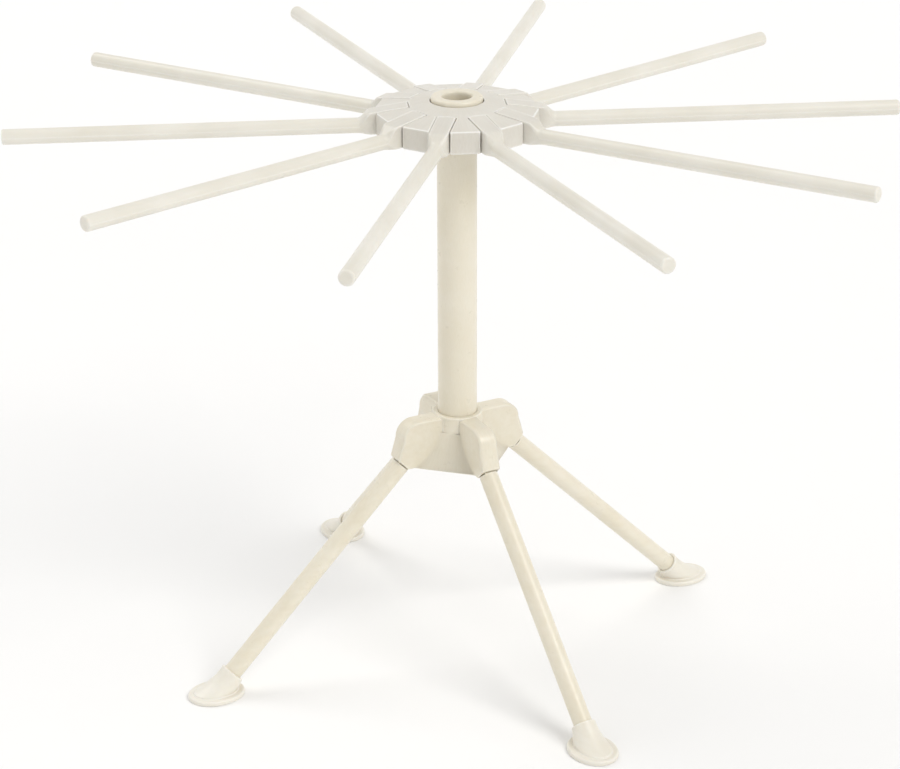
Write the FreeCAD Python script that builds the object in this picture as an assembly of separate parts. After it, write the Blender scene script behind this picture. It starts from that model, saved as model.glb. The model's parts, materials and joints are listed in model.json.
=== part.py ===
# Pasta drying rack: a hub with ten arms that fold down, turning on a hollow pole, and a base hub with
# four folding legs on oval feet. Arms and legs click round on eight-sided trunnions in square recesses.
# Millimetres, +Z up, origin on the floor under the pole.
import FreeCAD, Part
import math
import os

V = FreeCAD.Vector

# Layout
ARM_COUNT = 10
LEG_COUNT = 4
FIRST_ARM_ANGLE = 22.7
FIRST_LEG_ANGLE = 45.0
ARM_REACH = 200.0
LEG_SPLAY = 45.6
LEG_PIVOT_RADIUS = 21.0
LEG_PIVOT_HEIGHT = 104.3
POLE_VISIBLE_LENGTH = 135.3

# Fits: radial for round pieces, per side for flat ones
RUNNING_FIT = 0.08
PRESSED_FIT = 0.03
SLOT_SIDE_GAP = 0.25
SLOT_END_GAP = 0.2
SWING_GAP = 0.3

# Arms
ARM_DIAMETER = 6.9
ARM_TIP_CHAMFER = 0.7
ARM_AXIS_ABOVE_HUB_BOTTOM = 3.6
ARM_PIVOT_RADIUS = 26.0
KNUCKLE_RADIUS = 4.3
ROOT_WIDTH = 8.5
ROOT_OVERHANG = 0.8
ROOT_TAPER_LENGTH = 8.0
ROOT_TAPER_END = 7.3

# Trunnions moulded on the arms and legs
TRUNNION_DIAMETER = 4.0
TRUNNION_SIDES = 8
ARM_TRUNNION_LENGTH = 1.5
LEG_TRUNNION_LENGTH = 1.2
RECESS_END_GAP = 0.25

# Hub
HUB_APOTHEM = 36.0
HUB_RIM_HEIGHT = 10.3
HUB_TOP_SLOPE = 0.15
HUB_EDGE_CHAMFER = 0.7
HUB_WALL = 2.0
HUB_SKIN = 2.2
HUB_BOSS_WALL = 3.0
HUB_BOSS_HEIGHT = 12.1
HUB_RIB = 1.6
POCKET_NARROW_END = 2.4

# Pole and its end cap
POLE_DIAMETER = 18.0
POLE_BORE = 13.0
POLE_SPIGOT_DIAMETER = 15.6
CAP_DIAMETER = 23.4
CAP_HEIGHT = 3.6
CAP_LIP = 1.6
CAP_CHAMFER = 0.6
CAP_SIDE_GAP = 0.4
CAP_UNDER_GAP = 0.2

# Base hub
COLLAR_DIAMETER = 23.0
COLLAR_RISE = 12.9
COLLAR_HEIGHT = 7.6
SOCKET_DEPTH = 18.0
SOCKET_FLOOR = 2.5
SKIRT_DROP = 10.0
SKIRT_APOTHEM = 21.0
SKIRT_WAIST_APOTHEM = 14.2
SKIRT_WALL = 2.0
BRACKET_WALL = 1.6
BRACKET_LENGTH = 12.0
BRACKET_STEP = 0.5
BRACKET_REACH = 9.5
BRACKET_SHOULDER = 8.0
BRACKET_CHAMFER = 1.2

# Legs and feet
LEG_DIAMETER = 8.6
TONGUE_WIDTH = 5.6
TONGUE_HEIGHT = 6.4
TONGUE_LENGTH = 12.6
LEG_END_ABOVE_SOLE = 6.0
FOOT_SET_BACK = 1.5
FOOT_LENGTH = 26.8
FOOT_WIDTH = 21.4
FOOT_END_RADIUS = 9.7
FOOT_FLANGE = 2.2
FOOT_WALL = 1.3
FOOT_SOCKET_LENGTH = 8.0
INSTEP_WIDTH = 15.0
INSTEP_INSET = 2.2
INSTEP_HOLLOW = 1.2
INSTEP_CHAMFER = 2.0

# Heights that follow
COLLAR_TOP = LEG_PIVOT_HEIGHT + COLLAR_RISE
SOCKET_BOTTOM = COLLAR_TOP - SOCKET_DEPTH
SKIRT_TOP = COLLAR_TOP - COLLAR_HEIGHT
SKIRT_BOTTOM = LEG_PIVOT_HEIGHT - SKIRT_DROP
BRACKET_TOP = COLLAR_TOP - BRACKET_STEP
HUB_BOTTOM = COLLAR_TOP + POLE_VISIBLE_LENGTH
HUB_RIM_TOP = HUB_BOTTOM + HUB_RIM_HEIGHT
HUB_RECESS_FLOOR = HUB_BOTTOM + HUB_BOSS_HEIGHT
CAP_BOTTOM = HUB_RECESS_FLOOR + CAP_UNDER_GAP
CAP_TOP = CAP_BOTTOM + CAP_HEIGHT
POLE_TOP = CAP_TOP - CAP_LIP
ARM_AXIS_HEIGHT = HUB_BOTTOM + ARM_AXIS_ABOVE_HUB_BOTTOM
ARM_PIVOT_HEIGHT = HUB_BOTTOM + SLOT_END_GAP + KNUCKLE_RADIUS
ARM_PIVOT = V(ARM_PIVOT_RADIUS, 0, ARM_PIVOT_HEIGHT)

# Widths and radii that follow
ARM_STEP = 360.0 / ARM_COUNT
HUB_CORNER_RADIUS = HUB_APOTHEM / math.cos(math.radians(ARM_STEP / 2))
SLOT_WIDTH = ROOT_WIDTH + 2 * SLOT_SIDE_GAP
SLOT_INNER_RADIUS = ARM_PIVOT_RADIUS - KNUCKLE_RADIUS - SLOT_END_GAP
CAP_RECESS_RADIUS = CAP_DIAMETER / 2 + CAP_SIDE_GAP
CHANNEL_WIDTH = TONGUE_WIDTH + 2 * SWING_GAP
CHANNEL_REACH = TONGUE_HEIGHT / 2 + SWING_GAP
BRACKET_HALF_WIDTH = CHANNEL_WIDTH / 2 + BRACKET_WALL

# Leg line in the upright plane of a leg: pivot, direction to the foot, and the upper normal
SPLAY = math.radians(LEG_SPLAY)
LEG_PIVOT = V(LEG_PIVOT_RADIUS, 0, LEG_PIVOT_HEIGHT)
LEG_DIRECTION = V(math.sin(SPLAY), 0, -math.cos(SPLAY))
LEG_NORMAL = V(math.cos(SPLAY), 0, math.sin(SPLAY))
LEG_REACH = LEG_PIVOT_HEIGHT / math.cos(SPLAY)
SOLE_CENTRE = LEG_PIVOT + LEG_DIRECTION * LEG_REACH - V(FOOT_SET_BACK, 0, 0)
LEG_LENGTH = LEG_REACH - LEG_END_ABOVE_SOLE
LEG_END = LEG_PIVOT + LEG_DIRECTION * LEG_LENGTH


def polygon_face(points):
    return Part.Face(Part.makePolygon(points + [points[0]]))


def side_prism(profile, width):
    """Upright outline of (radius, height) points, made into a plate centred on the X-Z plane."""
    face = polygon_face([V(x, -width / 2, z) for x, z in profile])
    return face.extrude(V(0, width, 0))


def turned(profile):
    """Outline of (radius, height) points turned about the Z axis."""
    return polygon_face([V(r, 0, z) for r, z in profile]).revolve(V(0, 0, 0), V(0, 0, 1), 360)


def cross_rod(radius, length, place):
    """Cylinder along Y, centred on a point."""
    return Part.makeCylinder(radius, length, place - V(0, length / 2, 0), V(0, 1, 0))


def at_angle(shape, angle):
    copy = shape.copy()
    copy.rotate(V(0, 0, 0), V(0, 0, 1), angle)
    return copy


def around(shape, count, first_angle):
    return [at_angle(shape, first_angle + k * 360.0 / count) for k in range(count)]


def bevelled(shape, size, chosen):
    """Chamfer the edges whose middle point is chosen."""
    edges = [e for e in shape.Edges if chosen(e.valueAt((e.FirstParameter + e.LastParameter) / 2))]
    return shape.makeChamfer(size, edges)


def make_trunnions(width, length, place):
    """Eight-sided pivot stubs that stand out on both sides of a root of the given width."""
    corners = []
    for k in range(TRUNNION_SIDES):
        angle = 2 * math.pi * (k + 0.5) / TRUNNION_SIDES
        corners.append((
            place.x + TRUNNION_DIAMETER / 2 * math.cos(angle),
            place.z + TRUNNION_DIAMETER / 2 * math.sin(angle),
        ))
    return side_prism(corners, width + 2 * length)


def make_recesses(width, length, place):
    """Square recesses that take the trunnions, as one bar across the slot between them."""
    side = TRUNNION_DIAMETER + 2 * RUNNING_FIT
    reach = width + 2 * length + 2 * RECESS_END_GAP
    bar = Part.makeBox(side, reach, side)
    bar.translate(place - V(side / 2, reach / 2, side / 2))
    return bar


def hub_top_at(distance):
    """Height of the hub's top at a distance from the axis, square to the nearest side."""
    return HUB_RIM_TOP + HUB_TOP_SLOPE * (HUB_APOTHEM - distance)


def wedge(near, near_half, far, far_half, top):
    """Four-sided pocket from the hub's underside, centred on the X axis and widening outwards."""
    return polygon_face([
        V(near, -near_half, HUB_BOTTOM),
        V(far, -far_half, HUB_BOTTOM),
        V(far, far_half, HUB_BOTTOM),
        V(near, near_half, HUB_BOTTOM),
    ]).extrude(V(0, 0, top - HUB_BOTTOM))


def make_hub():
    """Ten-sided disc whose top rises to the middle, cored below, with an open slot for each arm root."""
    outline = polygon_face([
        V(HUB_CORNER_RADIUS * math.cos(math.radians(k * ARM_STEP)),
          HUB_CORNER_RADIUS * math.sin(math.radians(k * ARM_STEP)), HUB_BOTTOM)
        for k in range(ARM_COUNT)
    ])
    disc = outline.extrude(V(0, 0, CAP_TOP - HUB_BOTTOM))
    above_facet = side_prism([
        (0, hub_top_at(0)),
        (2 * HUB_APOTHEM, hub_top_at(2 * HUB_APOTHEM)),
        (2 * HUB_APOTHEM, CAP_TOP + HUB_RIM_HEIGHT),
        (0, CAP_TOP + HUB_RIM_HEIGHT),
    ], 2 * HUB_APOTHEM)
    for facet in around(above_facet, ARM_COUNT, ARM_STEP / 2):
        disc = disc.cut(facet)

    # Slots between the wedges
    slot = Part.makeBox(2 * HUB_APOTHEM, SLOT_WIDTH, CAP_TOP - HUB_BOTTOM)
    slot.translate(V(SLOT_INNER_RADIUS, -SLOT_WIDTH / 2, HUB_BOTTOM))
    disc = disc.cut(Part.makeCompound(around(slot, ARM_COUNT, 0)))

    # Bevelled outer edges of each wedge, top and sides
    def outer_edge(middle):
        at_rim = math.hypot(middle.x, middle.y) > HUB_APOTHEM - HUB_EDGE_CHAMFER
        return at_rim and middle.z > HUB_BOTTOM + HUB_EDGE_CHAMFER
    disc = bevelled(disc, HUB_EDGE_CHAMFER, outer_edge)

    # Recess for the pole cap and bore on the pole's spigot
    bore_radius = POLE_SPIGOT_DIAMETER / 2 + RUNNING_FIT
    recess = Part.makeCylinder(CAP_RECESS_RADIUS, CAP_TOP - HUB_RECESS_FLOOR, V(0, 0, HUB_RECESS_FLOOR))
    bore = Part.makeCylinder(bore_radius, HUB_BOSS_HEIGHT, V(0, 0, HUB_BOTTOM))

    # Pockets between the boss and the slot ring, with a rib to each slot
    half_step = math.radians(ARM_STEP / 2)
    core_near = bore_radius + HUB_BOSS_WALL
    core_far = (SLOT_INNER_RADIUS - HUB_WALL) * math.cos(half_step)
    rib_offset = HUB_RIB / 2 / math.cos(half_step)
    core = wedge(core_near, core_near * math.tan(half_step) - rib_offset,
                 core_far, core_far * math.tan(half_step) - rib_offset,
                 HUB_RECESS_FLOOR - HUB_SKIN)

    # Pockets in the wedges that leave an even wall along the slots and the rim
    wall_offset = (SLOT_WIDTH / 2 + HUB_WALL) / math.cos(half_step)
    near = (POCKET_NARROW_END / 2 + wall_offset) / math.tan(half_step)
    far = HUB_APOTHEM - HUB_WALL
    pocket = wedge(near, POCKET_NARROW_END / 2, far, far * math.tan(half_step) - wall_offset,
                   HUB_RIM_TOP - HUB_SKIN)

    hinges = make_recesses(ROOT_WIDTH, ARM_TRUNNION_LENGTH, ARM_PIVOT)
    tools = [recess, bore]
    tools += around(core, ARM_COUNT, ARM_STEP / 2)
    tools += around(pocket, ARM_COUNT, ARM_STEP / 2)
    tools += around(hinges, ARM_COUNT, 0)
    for tool in tools:
        disc = disc.cut(tool)
    return disc


def make_arm():
    """Round arm with a flat root: square above the pivot, where it stops, and round below it."""
    root_inner = ARM_PIVOT_RADIUS - KNUCKLE_RADIUS
    root_outer = HUB_CORNER_RADIUS + ROOT_OVERHANG
    root_bottom = ARM_PIVOT_HEIGHT - KNUCKLE_RADIUS
    y = -ROOT_WIDTH / 2

    def root_top_at(radius):
        return hub_top_at(radius * HUB_APOTHEM / HUB_CORNER_RADIUS)
    heel = V(root_inner, y, ARM_PIVOT_HEIGHT)
    crown = V(root_inner, y, root_top_at(root_inner))
    brow = V(root_outer, y, root_top_at(root_outer))
    chin = V(root_outer, y, root_bottom)
    throat = V(ARM_PIVOT_RADIUS, y, root_bottom)
    turn = math.radians(45)
    knuckle = V(
        ARM_PIVOT_RADIUS - KNUCKLE_RADIUS * math.cos(turn),
        y,
        ARM_PIVOT_HEIGHT - KNUCKLE_RADIUS * math.sin(turn),
    )
    outline = Part.Wire([
        Part.LineSegment(heel, crown).toShape(),
        Part.LineSegment(crown, brow).toShape(),
        Part.LineSegment(brow, chin).toShape(),
        Part.LineSegment(chin, throat).toShape(),
        Part.Arc(throat, knuckle, heel).toShape(),
    ])
    root = Part.Face(outline).extrude(V(0, ROOT_WIDTH, 0))

    # Four-sided taper from the root's end face to just over the round bar
    taper_end = root_outer + ROOT_TAPER_LENGTH
    half = ROOT_TAPER_END / 2
    taper_top = ARM_AXIS_HEIGHT + half
    taper_bottom = max(root_bottom, ARM_AXIS_HEIGHT - half)
    side_view = side_prism([
        (root_outer, root_bottom),
        (taper_end, taper_bottom),
        (taper_end, taper_top),
        (root_outer, brow.z),
    ], ROOT_WIDTH)
    plan_view = polygon_face([
        V(root_outer, -ROOT_WIDTH / 2, 0),
        V(taper_end, -half, 0),
        V(taper_end, half, 0),
        V(root_outer, ROOT_WIDTH / 2, 0),
    ]).extrude(V(0, 0, CAP_TOP))
    taper = side_view.common(plan_view)

    bar_start = V(root_outer, 0, ARM_AXIS_HEIGHT)
    bar = Part.makeCylinder(ARM_DIAMETER / 2, ARM_REACH - root_outer, bar_start, V(1, 0, 0))
    bar = bevelled(bar, ARM_TIP_CHAMFER, lambda middle: middle.x > ARM_REACH - ARM_TIP_CHAMFER)
    trunnions = make_trunnions(ROOT_WIDTH, ARM_TRUNNION_LENGTH, ARM_PIVOT)
    return root.fuse([taper, bar, trunnions]).removeSplitter()


def make_pole():
    """Hollow pole with a turned-down spigot for the hub and a shoulder that carries it."""
    outer = POLE_DIAMETER / 2
    spigot = POLE_SPIGOT_DIAMETER / 2
    bore = POLE_BORE / 2
    return turned([
        (bore, SOCKET_BOTTOM),
        (outer, SOCKET_BOTTOM),
        (outer, HUB_BOTTOM),
        (spigot, HUB_BOTTOM),
        (spigot, POLE_TOP),
        (bore, POLE_TOP),
    ])


def make_pole_cap():
    """Ring pressed over the spigot's end, which keeps the hub on the pole."""
    outer = CAP_DIAMETER / 2
    seat = POLE_SPIGOT_DIAMETER / 2 + PRESSED_FIT
    bore = POLE_BORE / 2
    return turned([
        (seat, CAP_BOTTOM),
        (outer, CAP_BOTTOM),
        (outer, CAP_TOP - CAP_CHAMFER),
        (outer - CAP_CHAMFER, CAP_TOP),
        (bore, CAP_TOP),
        (bore, POLE_TOP),
        (seat, POLE_TOP),
    ])


def make_skirt(inset):
    """Four-sided bell with hollow-curved sides that run from the collar to a straight lower edge."""
    top = COLLAR_DIAMETER / 2 - inset
    waist = SKIRT_WAIST_APOTHEM - inset
    bottom = SKIRT_APOTHEM - inset
    waist_height = (SKIRT_TOP + SKIRT_BOTTOM) / 2
    reach = 2 * SKIRT_APOTHEM

    def curve(side):
        return Part.Arc(
            V(side * top, -reach, SKIRT_TOP),
            V(side * waist, -reach, waist_height),
            V(side * bottom, -reach, SKIRT_BOTTOM),
        ).toShape()
    upper = Part.LineSegment(V(-top, -reach, SKIRT_TOP), V(top, -reach, SKIRT_TOP)).toShape()
    lower = Part.LineSegment(V(-bottom, -reach, SKIRT_BOTTOM), V(bottom, -reach, SKIRT_BOTTOM)).toShape()
    outline = Part.Wire(Part.__sortEdges__([upper, curve(1), lower, curve(-1)]))
    along_y = Part.Face(outline).extrude(V(0, 2 * reach, 0))
    return along_y.common(at_angle(along_y, 90))


def make_bracket():
    """Arm of the base hub for one leg: level top, round shoulder, and a mouth square to the leg."""
    mouth = LEG_PIVOT + LEG_DIRECTION * BRACKET_LENGTH
    lip = mouth + LEG_NORMAL * (CHANNEL_REACH + BRACKET_WALL)
    heel = mouth - LEG_NORMAL * ((mouth.z - SKIRT_BOTTOM) / LEG_NORMAL.z)
    side_x = LEG_PIVOT_RADIUS + BRACKET_REACH
    turn = BRACKET_SHOULDER * (1 - math.cos(math.radians(45)))

    def corner(x, z):
        return V(x, -BRACKET_HALF_WIDTH, z)
    top = corner(side_x - BRACKET_SHOULDER, BRACKET_TOP)
    shoulder = corner(side_x - turn, BRACKET_TOP - turn)
    side = corner(side_x, BRACKET_TOP - BRACKET_SHOULDER)
    straight = [
        side,
        corner(lip.x, lip.z),
        corner(heel.x, heel.z),
        corner(0, SKIRT_BOTTOM),
        corner(0, BRACKET_TOP),
        top,
    ]
    edges = [Part.LineSegment(a, b).toShape() for a, b in zip(straight, straight[1:])]
    outline = Part.Wire([Part.Arc(top, shoulder, side).toShape()] + edges)
    block = Part.Face(outline).extrude(V(0, 2 * BRACKET_HALF_WIDTH, 0))

    def upper_edge(middle):
        beside = abs(middle.y) > BRACKET_HALF_WIDTH - BRACKET_CHAMFER
        return beside and middle.x > BRACKET_CHAMFER and middle.z > lip.z
    return bevelled(block, BRACKET_CHAMFER, upper_edge)


def make_channel():
    """Room for a leg's tongue from splayed to upright: a slot, open below, with a roof along the leg."""
    inner = LEG_PIVOT_RADIUS - CHANNEL_REACH
    over_pivot = LEG_PIVOT + LEG_NORMAL * CHANNEL_REACH
    roof_start = over_pivot - LEG_DIRECTION * ((over_pivot.x - inner) / LEG_DIRECTION.x)
    roof_end = over_pivot + LEG_DIRECTION * (2 * BRACKET_LENGTH)
    below = SKIRT_BOTTOM - BRACKET_LENGTH
    return side_prism([
        (inner, roof_start.z),
        (roof_end.x, roof_end.z),
        (roof_end.x, below),
        (inner, below),
    ], CHANNEL_WIDTH)


def make_base_hub():
    """Collar and socket for the pole, cored skirt, and a bracket with a leg channel at each corner."""
    collar_bottom = V(0, 0, SOCKET_BOTTOM - SOCKET_FLOOR)
    collar = Part.makeCylinder(COLLAR_DIAMETER / 2, SOCKET_DEPTH + SOCKET_FLOOR, collar_bottom)
    skirt = make_skirt(0).cut(make_skirt(SKIRT_WALL))
    body = skirt.fuse([collar] + around(make_bracket(), LEG_COUNT, FIRST_LEG_ANGLE))
    socket = Part.makeCylinder(POLE_DIAMETER / 2 + PRESSED_FIT, SOCKET_DEPTH, V(0, 0, SOCKET_BOTTOM))
    hinges = make_recesses(TONGUE_WIDTH, LEG_TRUNNION_LENGTH, LEG_PIVOT)
    tools = [socket]
    tools += around(make_channel(), LEG_COUNT, FIRST_LEG_ANGLE)
    tools += around(hinges, LEG_COUNT, FIRST_LEG_ANGLE)
    for tool in tools:
        body = body.cut(tool)
    return body.removeSplitter()


def make_leg():
    """Round leg with a flat tongue at its top, rounded about the trunnions."""
    shoulder = LEG_PIVOT + LEG_DIRECTION * TONGUE_LENGTH
    rod = Part.makeCylinder(LEG_DIAMETER / 2, LEG_LENGTH - TONGUE_LENGTH, shoulder, LEG_DIRECTION)
    edge = LEG_NORMAL * (TONGUE_HEIGHT / 2)
    corners = [LEG_PIVOT + edge, LEG_PIVOT - edge, shoulder - edge, shoulder + edge]
    tongue = side_prism([(c.x, c.z) for c in corners], TONGUE_WIDTH)
    knuckle = cross_rod(TONGUE_HEIGHT / 2, TONGUE_WIDTH, LEG_PIVOT)
    trunnions = make_trunnions(TONGUE_WIDTH, LEG_TRUNNION_LENGTH, LEG_PIVOT)
    return rod.fuse([tongue, knuckle, trunnions]).removeSplitter()


def make_oval(inset, height):
    """Oval plate on the floor, of four arcs: two round ends joined by flatter sides."""
    half_length = FOOT_LENGTH / 2 - inset
    half_width = FOOT_WIDTH / 2 - inset
    end_radius = FOOT_END_RADIUS - inset
    end_centre = half_length - end_radius
    bulge = half_width - end_radius
    side_radius = (end_centre ** 2 + half_width ** 2 - end_radius ** 2) / (2 * bulge)
    join_angle = math.atan2(side_radius - half_width, end_centre)
    join_x = end_centre + end_radius * math.cos(join_angle)
    join_y = end_radius * math.sin(join_angle)
    corners = [V(join_x, -join_y, 0), V(join_x, join_y, 0), V(-join_x, join_y, 0), V(-join_x, -join_y, 0)]
    middles = [V(half_length, 0, 0), V(0, half_width, 0), V(-half_length, 0, 0), V(0, -half_width, 0)]
    arcs = [Part.Arc(corners[k], middles[k], corners[(k + 1) % 4]).toShape() for k in range(4)]
    plate = Part.Face(Part.Wire(arcs)).extrude(V(0, 0, height))
    plate.translate(SOLE_CENTRE)
    return plate


def make_foot():
    """Oval flange with a slanting socket for the leg and a hollow-fronted instep that covers the flange."""
    socket_radius = LEG_DIAMETER / 2 + PRESSED_FIT + FOOT_WALL
    rim = LEG_END - LEG_DIRECTION * FOOT_SOCKET_LENGTH
    socket = Part.makeCylinder(socket_radius, FOOT_SOCKET_LENGTH + FOOT_LENGTH, rim, LEG_DIRECTION)
    under = Part.makeBox(2 * FOOT_LENGTH, 2 * FOOT_LENGTH, 2 * FOOT_LENGTH)
    under.translate(SOLE_CENTRE - V(FOOT_LENGTH, FOOT_LENGTH, 2 * FOOT_LENGTH))
    socket = socket.cut(under)

    # Instep: hollow in side view, widening downwards in front view, rounded like the flange in plan
    reach = FOOT_LENGTH / 2 - INSTEP_INSET
    across = V(0, -INSTEP_WIDTH / 2, 0)
    brow = rim + LEG_NORMAL * socket_radius + across
    nape = rim - LEG_NORMAL * socket_radius + across
    toe = SOLE_CENTRE + V(reach, 0, FOOT_FLANGE) + across
    heel = SOLE_CENTRE + V(-reach, 0, FOOT_FLANGE) + across
    hollow = (brow + toe) * 0.5 - LEG_NORMAL * INSTEP_HOLLOW
    straight = [toe, heel, nape, brow]
    edges = [Part.LineSegment(a, b).toShape() for a, b in zip(straight, straight[1:])]
    outline = Part.Wire([Part.Arc(brow, hollow, toe).toShape()] + edges)
    side_view = Part.Face(outline).extrude(V(0, INSTEP_WIDTH, 0))
    back = SOLE_CENTRE.x - FOOT_LENGTH
    front_view = polygon_face([
        V(back, -INSTEP_WIDTH / 2, FOOT_FLANGE),
        V(back, INSTEP_WIDTH / 2, FOOT_FLANGE),
        V(back, socket_radius, brow.z),
        V(back, -socket_radius, brow.z),
    ]).extrude(V(2 * FOOT_LENGTH, 0, 0))
    instep = side_view.common(front_view)

    def upper_edge(middle):
        beside = abs(middle.y) > socket_radius - INSTEP_CHAMFER
        return beside and nape.z < middle.z < brow.z and middle.x > brow.x
    instep = bevelled(instep, INSTEP_CHAMFER, upper_edge).common(make_oval(INSTEP_INSET, brow.z))
    body = make_oval(0, FOOT_FLANGE).fuse([socket, instep])
    bore = Part.makeCylinder(LEG_DIAMETER / 2 + PRESSED_FIT, FOOT_SOCKET_LENGTH, rim, LEG_DIRECTION)
    return body.cut(bore).removeSplitter()


def save(name, shape):
    shape.exportStep("parts/" + name + ".step")
    bad = "" if shape.isValid() else " NOT VALID"
    print(name, len(shape.Solids), round(shape.Volume, 1), bad)


os.makedirs("parts", exist_ok=True)
save("hub_body", at_angle(make_hub(), FIRST_ARM_ANGLE))
for number, arm in enumerate(around(make_arm(), ARM_COUNT, FIRST_ARM_ANGLE), 1):
    save("arm_%02d" % number, arm)
save("pole", make_pole())
save("pole_cap", make_pole_cap())
save("base_hub", make_base_hub())
for number, leg in enumerate(around(make_leg(), LEG_COUNT, FIRST_LEG_ANGLE), 1):
    save("leg_%d" % number, leg)
for number, foot in enumerate(around(make_foot(), LEG_COUNT, FIRST_LEG_ANGLE), 1):
    save("foot_%d" % number, foot)
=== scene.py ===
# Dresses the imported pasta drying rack: rounded moulded pieces, plastics, soft studio light and camera.
import json
import math

import bmesh
import bpy
from mathutils import Matrix, Vector
from mathutils.bvhtree import BVHTree


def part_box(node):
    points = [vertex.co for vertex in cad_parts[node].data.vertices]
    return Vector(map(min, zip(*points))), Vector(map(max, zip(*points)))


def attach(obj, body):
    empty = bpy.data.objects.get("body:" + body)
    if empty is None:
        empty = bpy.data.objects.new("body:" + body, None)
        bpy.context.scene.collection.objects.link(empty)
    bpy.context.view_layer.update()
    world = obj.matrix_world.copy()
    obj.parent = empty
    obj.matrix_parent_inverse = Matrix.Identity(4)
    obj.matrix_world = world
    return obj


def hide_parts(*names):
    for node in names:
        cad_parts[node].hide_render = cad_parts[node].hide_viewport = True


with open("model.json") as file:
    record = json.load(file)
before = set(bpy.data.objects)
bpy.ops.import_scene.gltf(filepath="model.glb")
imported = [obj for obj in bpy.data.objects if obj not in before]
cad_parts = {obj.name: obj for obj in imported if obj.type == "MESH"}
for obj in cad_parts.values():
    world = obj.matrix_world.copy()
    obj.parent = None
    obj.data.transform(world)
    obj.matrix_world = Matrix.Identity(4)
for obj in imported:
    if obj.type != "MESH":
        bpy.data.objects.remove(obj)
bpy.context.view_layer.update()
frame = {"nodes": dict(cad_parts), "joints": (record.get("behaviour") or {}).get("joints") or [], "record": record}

MM = 0.001

# Camera: place in metres, angles in degrees, lens and sensor width in millimetres
CAMERA_PLACE = (0.3389, -1.1202, 0.6259)
CAMERA_PAN = 17.001
CAMERA_TILT = 22.98
CAMERA_ROLL = -0.187
CAMERA_LENS = 110.196
CAMERA_SENSOR = 36.0

# Light: two broad suns, with their spread in degrees, and an even surround
KEY_DIRECTION = (-0.85, 0.35, -1.0)
KEY_SPREAD = 30
KEY_STRENGTH = 1.25
KEY_COLOUR = (1.0, 0.985, 0.96)
FILL_DIRECTION = (0.75, -0.3, -1.0)
FILL_SPREAD = 36
FILL_STRENGTH = 0.72
FILL_COLOUR = (1.0, 0.99, 0.975)
SURROUND_COLOUR = (1.0, 0.997, 0.99)
SURROUND_STRENGTH = 0.56

# Studio floor: sizes in metres, tones and finish
FLOOR_RADIUS = 2.5
SWEEP = 2.0
SWEEP_STEPS = 12
FLOOR_POINTS = 96
FLOOR_DEEP = (0.92, 0.92, 0.92)
FLOOR_LIGHT = (0.95, 0.95, 0.95)
FLOOR_CLOUD_SCALE = 3.0
FLOOR_ROUGHNESS = 0.9
FLOOR_GLOSS = 0.1

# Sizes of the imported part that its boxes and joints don't give
ARM_RADIUS = 3.45 * MM
ARM_AXIS_ABOVE_HUB_BOTTOM = 3.6 * MM
ROOT_HALF_WIDTH = 4.25 * MM
ROOT_SLOT_GAP = 0.2 * MM
HUB_APOTHEM = 36.0 * MM
HUB_RIM_HEIGHT = 10.3 * MM
HUB_TOP_SLOPE = 0.15
ARM_STEP = math.radians(36)
COLLAR_RADIUS = 11.5 * MM
POLE_BORE_RADIUS = 6.5 * MM
SPIGOT_RADIUS = 7.8 * MM
CAP_LIP = 1.6 * MM
LEG_RADIUS = 4.3 * MM
LEG_END_ABOVE_SOLE = 6.0 * MM
FOOT_SET_BACK = 1.5 * MM
FOOT_SOCKET_LENGTH = 8.0 * MM
FOOT_WALL = 1.3 * MM
FOOT_LENGTH = 26.8 * MM
FOOT_WIDTH = 21.4 * MM
FOOT_FLANGE = 2.2 * MM
INSTEP_WIDTH = 15.0 * MM
INSTEP_INSET = 2.2 * MM
INSTEP_HOLLOW = 1.4 * MM

# Arm root: flat length, smooth change to the round bar, and the heel's drop as a share of the knuckle
ROOT_LENGTH = 16.4 * MM
ROOT_BLEND = 6.0 * MM
HEEL_DROP = 0.1

# Mould seam along both sides of an arm bar
SEAM_HEIGHT = 0.09 * MM
SEAM_TOP = 0.13 * MM
SEAM_FOOT = 0.24 * MM

# Roundings
ROOT_EDGE = 0.55 * MM
ROOT_END_SPACE = 1.2 * ROOT_EDGE
SMALLEST_CORNER = 0.3 * ROOT_EDGE
ARM_TIP_ROUND = 0.9 * MM
CAP_ROUND = 1.35 * MM
CAP_FOOT_BEVEL = 0.2 * MM
FLANGE_ROUND = 0.9 * MM
SOLE_ROUND = 0.5 * MM
SOCKET_RIM_ROUND = 0.5 * MM
INSTEP_FILLET = 0.6 * MM
HUB_RIM_ROUND = 0.8 * MM
HUB_RIM_ZONE = 0.95 * HUB_APOTHEM
HUB_SLOT_SHARE = 0.45
BASE_ROUND = 0.5 * MM
LEDGE_REACH = 2.0 * MM
LEDGE_DROP = 1.5 * MM

# Angles and distances for joining, dissolving and shading faces
SHARP_ANGLE = math.radians(55)
CREASE_ANGLE = math.radians(50)
FLAT_ANGLE = math.radians(0.5)
WELD = 0.05 * MM
SLIVER = 0.001 * MM

# Points round the forms, and steps along their curves
RING_POINTS = 32
CAP_POINTS = 96
ROUND_STEPS = 4
KNUCKLE_STEPS = 8
BLEND_STEPS = 12
CAP_STEPS = 6
BOOT_STEPS = 14
FLANGE_STEPS = 5
SOLE_STEPS = 3

# Hub tones, shared by the arm roots, and the distances from the axis where the bars' tone sets in
HUB_LIGHT = (0.735, 0.71, 0.648)
HUB_DEEP = (0.675, 0.645, 0.578)
ROOT_TONE = (37 * MM, 46 * MM)

# Cloudy tone and flow lines of the plastic
CLOUD_SCALE = 38.0
CLOUD_DETAIL = 3.0
CLOUD_SHARE = 0.65
FLOW_SCALE = 420.0
FLOW_SHARE = 0.35
FLOW_ALONG = 0.06
FLOW_AROUND = 0.1
TONE_RANGE = (0.36, 0.64)
PATCH_RANGE = (0.3, 0.7)

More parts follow.
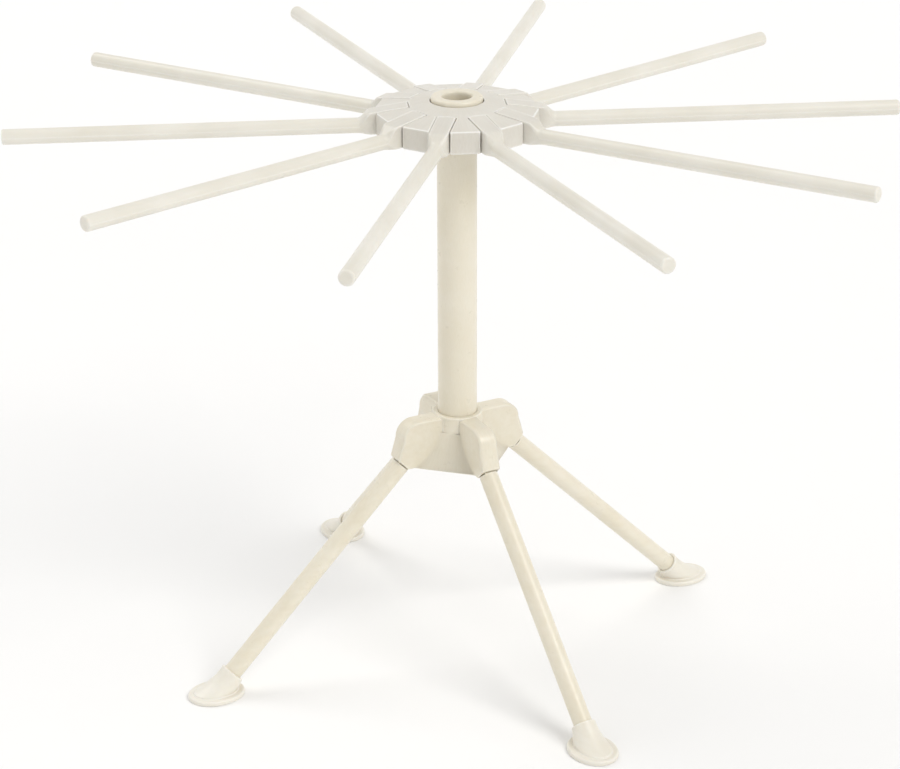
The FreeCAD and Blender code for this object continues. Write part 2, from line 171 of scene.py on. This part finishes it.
# Pale edges, partly wear and partly painted highlight, and a painted highlight on the bevels of the hub's rim from
# a distance from the axis
EDGE_REACH = 1.1 * MM
EDGE_FACING = (0.997, 0.94)
EDGE_WEAR_AND_HIGHLIGHT = (0.6, 0.95)
BEVEL_NORMAL = math.sqrt(0.5)
BEVEL_RANGE = (0.12, 0.25)
RIM_HIGHLIGHT_ZONE = (33.8 * MM, 35.0 * MM)

# Painted shade: a warm darker tint in occluded corners
CORNER_REACH = 5.0 * MM
CORNER_SAMPLES = 6
CORNER_OPEN = (0.15, 0.75)
CORNER_SHADE_SHARE = 0.55
CORNER_SHADE_TINT = (0.72, 0.62, 0.48)

# Uneven gloss, fine grain and the depth of the plastic
SCUFF_SCALE = 210.0
SCUFF_DETAIL = 4.0
SCUFF_FINENESS = 0.6
SCUFF_CHANGE = (-0.06, 0.09)
SPECKLE_SCALE = 2600.0
FLOW_RELIEF = 0.15
GRAIN_STRENGTH = 0.2
GRAIN_DEPTH = 0.03 * MM
SCATTER_WEIGHT = 0.08
SCATTER_COLOURS = (1.0, 0.75, 0.5)
SCATTER_DEPTH = 1.2 * MM
COAT_ROUGHNESS = 0.22
PLASTIC_IOR = 1.49


def smoothstep(share):
    return share * share * (3 - 2 * share)


def blend(first, last, share):
    return first + (last - first) * share


def quarter_turn(steps):
    return [math.pi / 2 * k / steps for k in range(steps + 1)]


# Shader nodes

def feed(tree, socket, value):
    """Links a socket to another one, or sets its value."""
    if isinstance(value, bpy.types.NodeSocket):
        tree.links.new(value, socket)
    else:
        socket.default_value = value


def add_node(tree, kind, **inputs):
    """New node with its inputs fed by name, where _ stands for a space, or by number after an i."""
    node = tree.nodes.new(kind)
    for name, value in inputs.items():
        by_number = name[0] == "i" and name[1:].isdigit()
        key = int(name[1:]) if by_number else name.replace("_", " ")
        feed(tree, node.inputs[key], value)
    return node


def maths(tree, operation, first, second=0.0):
    node = add_node(tree, "ShaderNodeMath", i0=first, i1=second)
    node.operation = operation
    return node.outputs[0]


def noise(tree, place, scale, detail=2.0, roughness=0.5):
    node = add_node(tree, "ShaderNodeTexNoise", Vector=place, Scale=scale, Detail=detail, Roughness=roughness)
    return node.outputs["Fac"]


def ramp(tree, value, low, high, first, last):
    """Value from first to last while another one goes from low to high."""
    node = add_node(tree, "ShaderNodeMapRange", Value=value,
                    From_Min=low, From_Max=high, To_Min=first, To_Max=last)
    return node.outputs[0]


def mixed(tree, share, first, last):
    node = tree.nodes.new("ShaderNodeMix")
    node.data_type = "RGBA"
    for index, value in ((0, share), (6, first), (7, last)):
        feed(tree, node.inputs[index], value)
    return node.outputs[2]


def opaque(colour):
    return (*colour, 1)


def new_material(name):
    """Node material with its tree and its Principled shader."""
    material = bpy.data.materials.new(name)
    material.use_nodes = True
    return material, material.node_tree, material.node_tree.nodes["Principled BSDF"]


def along_piece(tree):
    """Place, distance from the axis, and coordinates stretched along the radiating pieces."""
    place = tree.nodes.new("ShaderNodeTexCoord").outputs["Object"]
    x, y, z = add_node(tree, "ShaderNodeSeparateXYZ", Vector=place).outputs
    squares = maths(tree, "ADD", maths(tree, "MULTIPLY", x, x), maths(tree, "MULTIPLY", y, y))
    radius = maths(tree, "SQRT", squares)
    angle = maths(tree, "ARCTAN2", y, x)
    along = maths(tree, "MULTIPLY", radius, FLOW_ALONG)
    around = maths(tree, "MULTIPLY", angle, FLOW_AROUND)
    stretched = add_node(tree, "ShaderNodeCombineXYZ", X=along, Y=around, Z=z).outputs[0]
    return place, radius, stretched


def edge_wear_and_highlight(tree, clouds):
    """Share of pale colour near an edge, stronger in patches: partly wear, partly a painted highlight."""
    round_normal = add_node(tree, "ShaderNodeBevel", Radius=EDGE_REACH).outputs[0]
    own_normal = tree.nodes.new("ShaderNodeNewGeometry").outputs["Normal"]
    facing = add_node(tree, "ShaderNodeVectorMath", i0=round_normal, i1=own_normal)
    facing.operation = "DOT_PRODUCT"
    near_edge = ramp(tree, facing.outputs["Value"], *EDGE_FACING, 0.0, 1.0)
    return maths(tree, "MULTIPLY", near_edge, ramp(tree, clouds, *PATCH_RANGE, *EDGE_WEAR_AND_HIGHLIGHT))


def rim_painted_highlight(tree, radius, strength):
    """Share of painted highlight where a surface near the rim leans halfway between top and side."""
    own_normal = tree.nodes.new("ShaderNodeTexCoord").outputs["Normal"]
    lean = add_node(tree, "ShaderNodeSeparateXYZ", Vector=own_normal).outputs["Z"]
    from_bevel = maths(tree, "ABSOLUTE", maths(tree, "SUBTRACT", lean, BEVEL_NORMAL))
    bevelled = ramp(tree, from_bevel, *BEVEL_RANGE, strength, 0.0)
    return maths(tree, "MULTIPLY", bevelled, ramp(tree, radius, *RIM_HIGHLIGHT_ZONE, 0.0, 1.0))


def moulded_plastic(name, light, deep, edge, roughness, grain, coat, root=None, bevel_highlight=0.0):
    """Ivory moulded plastic: cloudy tone, flow lines, pale edges that are partly wear and partly painted
    highlight, painted shade in corners, an optional painted highlight on the rim's bevels, uneven gloss, fine
    grain.
    """
    material, tree, shader = new_material(name)
    place, radius, stretched = along_piece(tree)

    clouds = noise(tree, place, CLOUD_SCALE, CLOUD_DETAIL)
    flow = noise(tree, stretched, FLOW_SCALE)
    cloud_part = maths(tree, "MULTIPLY", clouds, CLOUD_SHARE)
    flow_part = maths(tree, "MULTIPLY", flow, FLOW_SHARE)
    depth = ramp(tree, maths(tree, "ADD", cloud_part, flow_part), *TONE_RANGE, 0.0, 1.0)
    colour = mixed(tree, depth, opaque(light), opaque(deep))
    if root:
        root_colour = mixed(tree, depth, *map(opaque, root))
        colour = mixed(tree, ramp(tree, radius, *ROOT_TONE, 0.0, 1.0), root_colour, colour)

    # Pale colour near edges: partly wear, partly a painted highlight
    colour = mixed(tree, edge_wear_and_highlight(tree, clouds), colour, opaque(edge))
    # Painted highlight on the bevels of the hub's rim
    if bevel_highlight:
        colour = mixed(tree, rim_painted_highlight(tree, radius, bevel_highlight), colour, opaque(edge))

    # Painted shade: a warm darker tone in the piece's own occluded corners
    corner_occlusion = add_node(tree, "ShaderNodeAmbientOcclusion", Distance=CORNER_REACH)
    corner_occlusion.only_local = True
    corner_occlusion.samples = CORNER_SAMPLES
    shade = ramp(tree, corner_occlusion.outputs["AO"], *CORNER_OPEN, CORNER_SHADE_SHARE, 0.0)
    corner_shade_colour = [part * tint for part, tint in zip(deep, CORNER_SHADE_TINT)]
    feed(tree, shader.inputs["Base Color"], mixed(tree, shade, colour, opaque(corner_shade_colour)))

    scuffs = noise(tree, place, SCUFF_SCALE, SCUFF_DETAIL, SCUFF_FINENESS)
    smoothest, roughest = (roughness + change for change in SCUFF_CHANGE)
    feed(tree, shader.inputs["Roughness"], ramp(tree, scuffs, *PATCH_RANGE, smoothest, roughest))

    speckle = maths(tree, "MULTIPLY", noise(tree, place, SPECKLE_SCALE), grain)
    height = maths(tree, "ADD", speckle, maths(tree, "MULTIPLY", flow, FLOW_RELIEF))
    bump = add_node(tree, "ShaderNodeBump", Strength=GRAIN_STRENGTH, Distance=GRAIN_DEPTH, Height=height)
    feed(tree, shader.inputs["Normal"], bump.outputs[0])

    shader.inputs["Subsurface Weight"].default_value = SCATTER_WEIGHT
    shader.inputs["Subsurface Radius"].default_value = SCATTER_COLOURS
    shader.inputs["Subsurface Scale"].default_value = SCATTER_DEPTH
    shader.inputs["Coat Weight"].default_value = coat
    shader.inputs["Coat Roughness"].default_value = COAT_ROUGHNESS
    shader.inputs["IOR"].default_value = PLASTIC_IOR
    return material


# Meshes

def lofted(rings):
    """Closed mesh through rings of equal point count, with a flat face on the first and the last."""
    mesh = bmesh.new()
    loops = [[mesh.verts.new(point) for point in ring] for ring in rings]
    count = len(loops[0])
    for near, far in zip(loops, loops[1:]):
        for k in range(count):
            mesh.faces.new((near[k], near[(k + 1) % count], far[(k + 1) % count], far[k]))
    mesh.faces.new(reversed(loops[0]))
    mesh.faces.new(loops[-1])
    bmesh.ops.recalc_face_normals(mesh, faces=mesh.faces)
    return mesh


def lathed(profile, count):
    """Closed ring from an outline of (radius, height) points turned about the Z axis."""
    mesh = bmesh.new()
    loops = []
    for k in range(count):
        angle = 2 * math.pi * k / count
        loops.append([mesh.verts.new((r * math.cos(angle), r * math.sin(angle), z)) for r, z in profile])
    for k, near in enumerate(loops):
        far = loops[(k + 1) % count]
        for j in range(len(profile)):
            i = (j + 1) % len(profile)
            mesh.faces.new((near[j], far[j], far[i], near[i]))
    bmesh.ops.recalc_face_normals(mesh, faces=mesh.faces)
    return mesh


def turned(mesh, pivot):
    """Turns a mesh that was made along +X about the Z axis, to the side of a pivot."""
    turn = Matrix.Rotation(math.atan2(pivot.y, pivot.x), 3, "Z")
    bmesh.ops.rotate(mesh, verts=mesh.verts, cent=(0, 0, 0), matrix=turn)
    return mesh


def welded(node):
    """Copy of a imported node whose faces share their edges, so that it can be smooth across them."""
    mesh = bmesh.new()
    mesh.from_mesh(frame["nodes"][node].data)
    bmesh.ops.remove_doubles(mesh, verts=mesh.verts, dist=WELD)
    bmesh.ops.dissolve_limit(mesh, angle_limit=FLAT_ANGLE, verts=mesh.verts, edges=mesh.edges)
    mesh.normal_update()
    return mesh


def softened(node, width, share):
    """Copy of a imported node, its sharp edges in the open rounded by their share of the full width."""
    mesh = welded(node)
    walls = BVHTree.FromBMesh(mesh)
    low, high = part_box(node)
    reach = max(high - low)
    weight = mesh.edges.layers.float.new("bevel_weight_edge")
    for edge in mesh.edges:
        if edge.is_convex and edge.calc_face_angle(0) > SHARP_ANGLE:
            middle = (edge.verts[0].co + edge.verts[1].co) / 2
            way = (edge.link_faces[0].normal + edge.link_faces[1].normal).normalized()
            if walls.ray_cast(middle + way * WELD, way, reach)[0] is None:
                edge[weight] = share(edge)

    data = bpy.data.meshes.new(node)
    mesh.to_mesh(data)
    holder = bpy.data.objects.new(node, data)
    bpy.context.scene.collection.objects.link(holder)
    bevel = holder.modifiers.new("rounding", "BEVEL")
    bevel.limit_method = "WEIGHT"
    bevel.width = width
    bevel.segments = ROUND_STEPS
    bevel.use_clamp_overlap = False
    rounded = bmesh.new()
    rounded.from_mesh(holder.evaluated_get(bpy.context.evaluated_depsgraph_get()).to_mesh())
    bpy.data.objects.remove(holder)
    bpy.data.meshes.remove(data)
    bmesh.ops.dissolve_degenerate(rounded, dist=SLIVER, edges=rounded.edges)
    return rounded


def as_piece(mesh, name, material, body, node):
    """Puts a finished mesh into the scene: smooth shading, material, and its place in the frame."""
    data = bpy.data.meshes.new(name)
    mesh.to_mesh(data)
    data.shade_smooth()
    data.set_sharp_from_angle(angle=CREASE_ANGLE)
    data.materials.append(material)
    piece = bpy.data.objects.new(name, data)
    bpy.context.scene.collection.objects.link(piece)
    even = piece.modifiers.new("even_normals", "WEIGHTED_NORMAL")
    even.keep_sharp = True
    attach(piece, body)
    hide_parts(node)


def hinged(prefix):
    """Name and pivot of each hinged body whose name starts with the prefix."""
    joints = [joint for joint in frame["joints"] if joint["child"].startswith(prefix)]
    return [(joint["child"], Vector(joint["pos_m"])) for joint in joints]


# Arms

def section_turns():
    """Angles of the points round an arm, with extra ones where the mould seam rises on both sides."""
    turns = [2 * math.pi * (k + 0.5) / RING_POINTS for k in range(RING_POINTS)]
    for side in (0, math.pi):
        for offset in (-SEAM_FOOT, -SEAM_TOP, SEAM_TOP, SEAM_FOOT):
            turns.append((side + offset / ARM_RADIUS) % (2 * math.pi))
    return sorted(turns)


def section(distance, half_width, low, high, corner, seam=0.0):
    """Rounded box across an arm, at a distance from the axis."""
    points = []
    middle = (low + high) / 2
    half_height = (high - low) / 2
    seam_edge = (SEAM_TOP + SEAM_FOOT) / 2 / ARM_RADIUS
    for turn in section_turns():
        raised = seam if abs(math.sin(turn)) < math.sin(seam_edge) else 0.0
        across = math.copysign(half_width - corner + raised, math.cos(turn)) + corner * math.cos(turn)
        up = math.copysign(half_height - corner, math.sin(turn)) + corner * math.sin(turn)
        points.append((distance, across, middle + up))
    return points


def rounded_end(end, outward, half_width, low, high, corner, radius, seam=0.0):
    """Sections that round an arm's end face over, from the face inwards."""
    rings = []
    for turn in quarter_turn(ROUND_STEPS):
        inset = radius * (1 - math.sin(turn))
        distance = end - outward * radius * (1 - math.cos(turn))
        rings.append(section(distance, half_width - inset, low + inset, high - inset,
                             max(corner - inset, SMALLEST_CORNER), seam * math.sin(turn)))
    return rings


def arm_form(pivot_radius, pivot_height, reach, hub_bottom):
    """Arm along +X: flat root round the pivot, a smooth change to the round bar, and a rounded tip."""
    knuckle = pivot_height - hub_bottom - ROOT_SLOT_GAP
    rim_top = hub_bottom + HUB_RIM_HEIGHT
    bar_bottom = hub_bottom + ARM_AXIS_ABOVE_HUB_BOTTOM - ARM_RADIUS
    bar_top = hub_bottom + ARM_AXIS_ABOVE_HUB_BOTTOM + ARM_RADIUS
    back = pivot_radius - knuckle
    root_end = back + ROOT_LENGTH

    def root_top(distance):
        return rim_top + HUB_TOP_SLOPE * (HUB_APOTHEM - distance * math.cos(ARM_STEP / 2))

    heel = pivot_height - HEEL_DROP * knuckle
    rings = rounded_end(back, -1, ROOT_HALF_WIDTH, heel, root_top(back), ROOT_EDGE, ROOT_EDGE)
    for turn in quarter_turn(KNUCKLE_STEPS):
        distance = pivot_radius - knuckle * math.cos(turn)
        if distance > back + ROOT_END_SPACE:
            low = pivot_height - knuckle * math.sin(turn)
            rings.append(section(distance, ROOT_HALF_WIDTH, low, root_top(distance), ROOT_EDGE))
    for k in range(BLEND_STEPS + 1):
        share = smoothstep(k / BLEND_STEPS)
        rings.append(section(
            root_end + ROOT_BLEND * k / BLEND_STEPS,
            blend(ROOT_HALF_WIDTH, ARM_RADIUS, share),
            blend(pivot_height - knuckle, bar_bottom, share),
            blend(root_top(root_end), bar_top, share),
            blend(ROOT_EDGE, ARM_RADIUS, share),
            blend(0.0, SEAM_HEIGHT, share),
        ))
    tip = rounded_end(reach, 1, ARM_RADIUS, bar_bottom, bar_top, ARM_RADIUS, ARM_TIP_ROUND, SEAM_HEIGHT)
    return lofted(rings + tip[::-1])


def make_arms(material):
    hub_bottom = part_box("hub_body")[0].z
    for name, pivot in hinged("arm_"):
        reach = max(v.co.xy.length for v in frame["nodes"][name].data.vertices)
        mesh = turned(arm_form(pivot.xy.length, pivot.z, reach, hub_bottom), pivot)
        as_piece(mesh, name + "_bar", material, name, name)


# Hub, pole cap and base hub

def make_hub(material):
    """Hub with a well rounded rim and finer edges along the arm slots."""
    def share(edge):
        at_rim = all(v.co.xy.length > HUB_RIM_ZONE for v in edge.verts)
        return 1.0 if at_rim else HUB_SLOT_SHARE

    mesh = softened("hub_body", HUB_RIM_ROUND, share)
    as_piece(mesh, "hub_shell", material, "hub", "hub_body")


def make_pole_cap(material):
    """Ring with a rounded lip that keeps the hub on the pole."""
    low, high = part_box("pole_cap")
    outer = high.x
    lip = high.z - CAP_LIP
    rounding = []
    for turn in quarter_turn(CAP_STEPS):
        rounding.append((CAP_ROUND * (1 - math.cos(turn)), high.z - CAP_ROUND * (1 - math.sin(turn))))
    profile = [
        (SPIGOT_RADIUS, low.z),
        (outer - CAP_FOOT_BEVEL, low.z),
        (outer, low.z + CAP_FOOT_BEVEL),
    ]
    profile += [(outer - inset, height) for inset, height in rounding]
    profile += [(POLE_BORE_RADIUS + inset, height) for inset, height in reversed(rounding)]
    profile += [(POLE_BORE_RADIUS, lip), (SPIGOT_RADIUS, lip)]
    as_piece(lathed(profile, CAP_POINTS), "pole_cap_ring", material, "base", "pole_cap")


def make_base_hub(material):
    """Base hub with rounded edges, but for the narrow ledges where the skirt runs into the collar."""
    collar_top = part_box("base_hub")[1].z

    def on_ledge(vertex):
        return vertex.co.xy.length < COLLAR_RADIUS + LEDGE_REACH and vertex.co.z < collar_top - LEDGE_DROP

    def share(edge):
        return 0.0 if any(on_ledge(v) for v in edge.verts) else 1.0

    mesh = softened("base_hub", BASE_ROUND, share)
    as_piece(mesh, "base_hub_shell", material, "base", "base_hub")


# Feet

def foot_form(pivot_radius, pivot_height, sole_radius):
    """Boot along +X: a short slanting socket that flares, hollow in front, to an oval flange."""
    sole = Vector((sole_radius, 0, 0))
    pivot = Vector((pivot_radius, 0, pivot_height))
    floor_point = sole + Vector((FOOT_SET_BACK, 0, 0))
    down = (floor_point - pivot).normalized()
    front = Vector((-down.z, 0, down.x))
    wall = LEG_RADIUS + FOOT_WALL
    leg_end = floor_point - down * LEG_END_ABOVE_SOLE
    mouth = leg_end - down * FOOT_SOCKET_LENGTH

    def oval(heel, toe, half_width):
        middle = (heel + toe) / 2
        reach = (toe - heel) / 2
        points = []
        for k in range(2 * RING_POINTS):
            turn = math.pi * k / RING_POINTS
            points.append(middle + reach * math.cos(turn) + Vector((0, half_width * math.sin(turn), 0)))
        return points

    def across(along, radius):
        centre = mouth + down * along
        return oval(centre - front * radius, centre + front * radius, radius)

    def level(half_length, half_width, height):
        centre = sole + Vector((0, 0, height))
        reach = Vector((half_length, 0, 0))
        return oval(centre - reach, centre + reach, half_width)

    # Bore, then the rim rolled over to the outside
    rings = [across(FOOT_SOCKET_LENGTH, LEG_RADIUS)]
    for turn in quarter_turn(ROUND_STEPS):
        inset = SOCKET_RIM_ROUND * (1 - math.cos(turn))
        rings.append(across(SOCKET_RIM_ROUND * (1 - math.sin(turn)), LEG_RADIUS + inset))
    for turn in reversed(quarter_turn(ROUND_STEPS)):
        inset = SOCKET_RIM_ROUND * (1 - math.cos(turn))
        rings.append(across(SOCKET_RIM_ROUND * (1 - math.sin(turn)), wall - inset))

    # Boot: steep heel, hollow instep, sides that widen to the flange and meet it in a fillet
    neck = mouth + down * SOCKET_RIM_ROUND
    half_boot = FOOT_LENGTH / 2 - INSTEP_INSET - INSTEP_FILLET
    height = Vector((0, 0, FOOT_FLANGE + INSTEP_FILLET))
    heel_top = neck - front * wall
    toe_top = neck + front * wall
    heel_bottom = sole + height - Vector((half_boot, 0, 0))
    toe_bottom = sole + height + Vector((half_boot, 0, 0))
    instep = (toe_top + toe_bottom) / 2 - front * 2 * INSTEP_HOLLOW
    for k in range(1, BOOT_STEPS + 1):
        share = k / BOOT_STEPS
        toe = toe_top.lerp(instep, share).lerp(instep.lerp(toe_bottom, share), share)
        half_width = blend(wall, INSTEP_WIDTH / 2, smoothstep(share))
        rings.append(oval(heel_top.lerp(heel_bottom, share), toe, half_width))
    for turn in quarter_turn(ROUND_STEPS)[1:]:
        out = INSTEP_FILLET * (1 - math.cos(turn))
        drop = INSTEP_FILLET * (1 - math.sin(turn))
        rings.append(level(half_boot + out, INSTEP_WIDTH / 2 + out, FOOT_FLANGE + drop))

    # Flange: rounded upper edge, then the sole
    for turn in reversed(quarter_turn(FLANGE_STEPS)):
        inset = FLANGE_ROUND * (1 - math.cos(turn))
        drop = FLANGE_ROUND * (1 - math.sin(turn))
        rings.append(level(FOOT_LENGTH / 2 - inset, FOOT_WIDTH / 2 - inset, FOOT_FLANGE - drop))
    for turn in quarter_turn(SOLE_STEPS):
        inset = SOLE_ROUND * (1 - math.cos(turn))
        rise = SOLE_ROUND * (1 - math.sin(turn))
        rings.append(level(FOOT_LENGTH / 2 - inset, FOOT_WIDTH / 2 - inset, rise))
    return lofted(rings)


def make_feet(material):
    soles = {m["name"]: Vector(m["pos_m"]) for m in frame["record"]["mounts"]}
    for leg, pivot in hinged("leg_"):
        name = leg.replace("leg", "foot")
        mesh = turned(foot_form(pivot.xy.length, pivot.z, soles[name + "_sole"].xy.length), pivot)
        as_piece(mesh, name + "_boot", material, leg, name)


# Pole and legs

def make_pole_and_legs(material):
    as_piece(welded("pole"), "pole_tube", material, "base", "pole")
    for name, _ in hinged("leg_"):
        as_piece(welded(name), name + "_bar", material, name, name)


# Studio

def make_camera():
    data = bpy.data.cameras.new("camera")
    data.lens = CAMERA_LENS
    data.sensor_width = CAMERA_SENSOR
    data.sensor_fit = "HORIZONTAL"
    camera = bpy.data.objects.new("camera", data)
    bpy.context.scene.collection.objects.link(camera)
    camera.matrix_world = (
        Matrix.Translation(CAMERA_PLACE)
        @ Matrix.Rotation(math.radians(CAMERA_PAN), 4, "Z")
        @ Matrix.Rotation(math.radians(90 - CAMERA_TILT), 4, "X")
        @ Matrix.Rotation(math.radians(CAMERA_ROLL), 4, "Z")
    )
    bpy.context.scene.camera = camera


def soft_sun(name, direction, spread, strength, colour):
    data = bpy.data.lights.new(name, "SUN")
    data.angle = math.radians(spread)
    data.energy = strength
    data.color = colour
    light = bpy.data.objects.new(name, data)
    light.rotation_euler = Vector(direction).to_track_quat("-Z", "Y").to_euler()
    bpy.context.scene.collection.objects.link(light)


def make_floor():
    """Plain pale floor that sweeps up into a low wall all round."""
    material, tree, shader = new_material("pale_floor")
    place = tree.nodes.new("ShaderNodeTexCoord").outputs["Object"]
    clouds = noise(tree, place, FLOOR_CLOUD_SCALE)
    feed(tree, shader.inputs["Base Color"], mixed(tree, clouds, opaque(FLOOR_DEEP), opaque(FLOOR_LIGHT)))
    shader.inputs["Roughness"].default_value = FLOOR_ROUGHNESS
    shader.inputs["Specular IOR Level"].default_value = FLOOR_GLOSS

    sweep = bmesh.new()
    loops = []
    turns = [2 * math.pi * k / FLOOR_POINTS for k in range(FLOOR_POINTS)]
    for rise in quarter_turn(SWEEP_STEPS):
        radius = FLOOR_RADIUS + SWEEP * math.sin(rise)
        height = SWEEP * (1 - math.cos(rise))
        loops.append([sweep.verts.new((radius * math.cos(t), radius * math.sin(t), height)) for t in turns])
    sweep.faces.new(loops[0])
    for near, far in zip(loops, loops[1:]):
        for k in range(FLOOR_POINTS):
            sweep.faces.new((near[k], far[k], far[(k + 1) % FLOOR_POINTS], near[(k + 1) % FLOOR_POINTS]))
    mesh = bpy.data.meshes.new("floor")
    sweep.to_mesh(mesh)
    mesh.shade_smooth()
    mesh.materials.append(material)
    floor = bpy.data.objects.new("floor", mesh)
    bpy.context.scene.collection.objects.link(floor)


def make_light():
    """Even white light all round, a broad soft key from the upper right and a weaker one from the left."""
    world = bpy.data.worlds.new("studio")
    world.use_nodes = True
    background = world.node_tree.nodes["Background"]
    background.inputs["Color"].default_value = opaque(SURROUND_COLOUR)
    background.inputs["Strength"].default_value = SURROUND_STRENGTH
    bpy.context.scene.world = world
    bpy.context.scene.view_settings.view_transform = "Standard"
    soft_sun("key", KEY_DIRECTION, KEY_SPREAD, KEY_STRENGTH, KEY_COLOUR)
    soft_sun("fill", FILL_DIRECTION, FILL_SPREAD, FILL_STRENGTH, FILL_COLOUR)


# Hub plastic, with a painted highlight on its rim's bevels
hub_plastic = moulded_plastic(
    "hub_satin", light=HUB_LIGHT, deep=HUB_DEEP, edge=(0.95, 0.94, 0.915),
    roughness=0.42, grain=1.0, coat=0.0, bevel_highlight=0.85)
arm_plastic = moulded_plastic(
    "arm_satin", light=(0.81, 0.785, 0.712), deep=(0.75, 0.72, 0.632), edge=(0.92, 0.905, 0.865),
    roughness=0.34, grain=0.6, coat=0.1, root=(HUB_LIGHT, HUB_DEEP))
stand_plastic = moulded_plastic(
    "stand_ivory", light=(0.81, 0.762, 0.642), deep=(0.755, 0.697, 0.555), edge=(0.885, 0.855, 0.76),
    roughness=0.32, grain=0.6, coat=0.15)
# Feet: a lighter ivory than the stand, painted light standing in for light bouncing off the floor
foot_plastic_bounce_lit = moulded_plastic(
    "foot_ivory_bounce_lit", light=(0.83, 0.80, 0.72), deep=(0.785, 0.745, 0.645), edge=(0.90, 0.88, 0.82),
    roughness=0.38, grain=0.8, coat=0.05)

make_hub(hub_plastic)
make_arms(arm_plastic)
make_pole_cap(stand_plastic)
make_base_hub(stand_plastic)
make_feet(foot_plastic_bounce_lit)
make_pole_and_legs(stand_plastic)
make_light()
make_floor()
make_camera()
